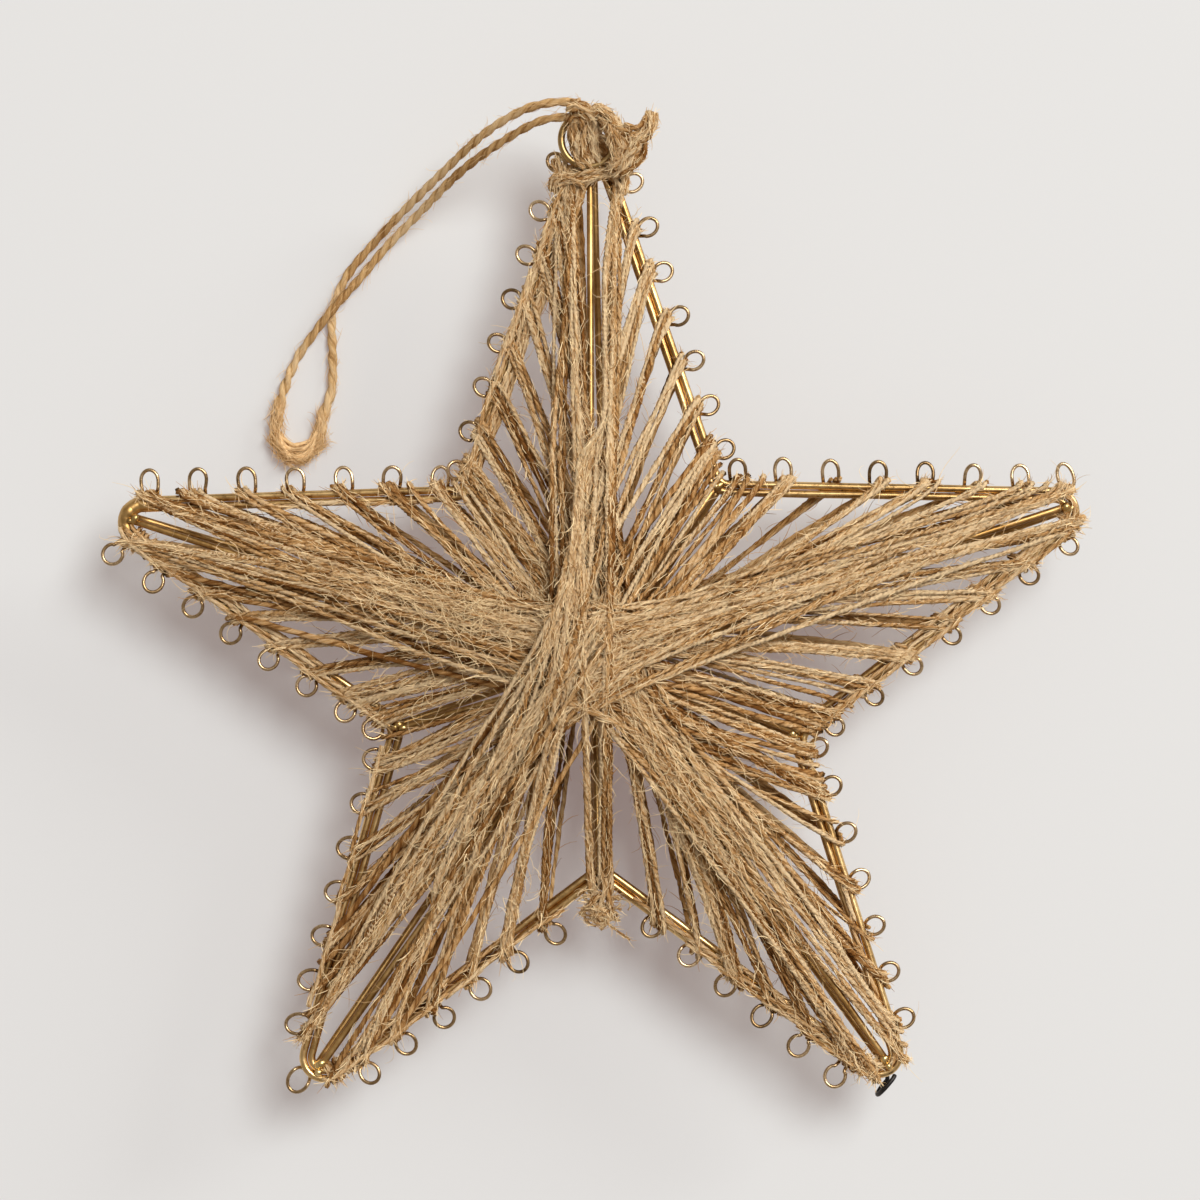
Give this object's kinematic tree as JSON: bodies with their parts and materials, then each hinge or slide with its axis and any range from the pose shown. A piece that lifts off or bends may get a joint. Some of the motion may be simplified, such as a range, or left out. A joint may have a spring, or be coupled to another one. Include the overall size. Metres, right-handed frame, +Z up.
{
  "type": "rope star ornament",
  "caption": "Puffy five-pointed wire star wound with jute twine, edged with small wire loops, with a ring and a twisted hanging loop at its top tip",
  "frame": {"origin": "on the resting surface, on the flat spot of the back twine crossing under the star's centre", "axes": "+Z is up when the star lies on its back, along the star's depth, with the front facing +Z; +Y points to the top tip with the hanging ring; +X is to the viewer's right"},
  "size_m": [0.2007, 0.2023, 0.04],
  "materials": {
    "rod_brass": "worn gold-coloured wire with darker spots",
    "loop_brass": "thin wire, dull gold, darkened at its cut end",
    "jute": "two-ply jute twine with loose fibres",
    "jute_shaded": "two-ply jute twine, a little darker",
    "cord_tan": "twisted jute cord, warmer tan"
  },
  "bodies": {
    "root": {"back_rib_tip_left": "rod_brass", "back_rib_tip_lower_left": "rod_brass", "back_rib_tip_lower_right": "rod_brass", "back_rib_tip_right": "rod_brass", "back_rib_tip_top": "rod_brass", "back_rib_valley_bottom": "rod_brass", "back_rib_valley_left": "rod_brass", "back_rib_valley_right": "rod_brass", "back_rib_valley_upper_left": "rod_brass", "back_rib_valley_upper_right": "rod_brass", "front_rib_tip_left": "rod_brass", "front_rib_tip_lower_left": "rod_brass", "front_rib_tip_lower_right": "rod_brass", "front_rib_tip_right": "rod_brass", "front_rib_tip_top": "rod_brass", "front_rib_valley_bottom": "rod_brass", "front_rib_valley_left": "rod_brass", "front_rib_valley_right": "rod_brass", "front_rib_valley_upper_left": "rod_brass", "front_rib_valley_upper_right": "rod_brass", "hanging_loop": "cord_tan", "hanging_ring": "loop_brass", "inner_rod_left": "rod_brass", "inner_rod_lower_left": "rod_brass", "inner_rod_lower_right": "rod_brass", "inner_rod_right": "rod_brass", "inner_rod_top": "rod_brass", "loop_wire_left": "loop_brass", "loop_wire_lower_left": "loop_brass", "loop_wire_lower_right": "loop_brass", "loop_wire_right": "loop_brass", "loop_wire_top": "loop_brass", "outer_rod_left": "rod_brass", "outer_rod_lower_left": "rod_brass", "outer_rod_lower_right": "rod_brass", "outer_rod_right": "rod_brass", "outer_rod_top": "rod_brass", "ring_knot": "jute", "twine_back_left": "jute_shaded", "twine_back_lower_left": "jute_shaded", "twine_back_lower_right": "jute_shaded", "twine_back_right": "jute_shaded", "twine_back_top": "jute_shaded", "twine_crossing_back": "jute_shaded", "twine_crossing_front": "jute", "twine_front_left": "jute", "twine_front_lower_left": "jute", "twine_front_lower_right": "jute", "twine_front_right": "jute", "twine_front_top": "jute", "valley_knot": "jute"}
  },
  "joints": []
}
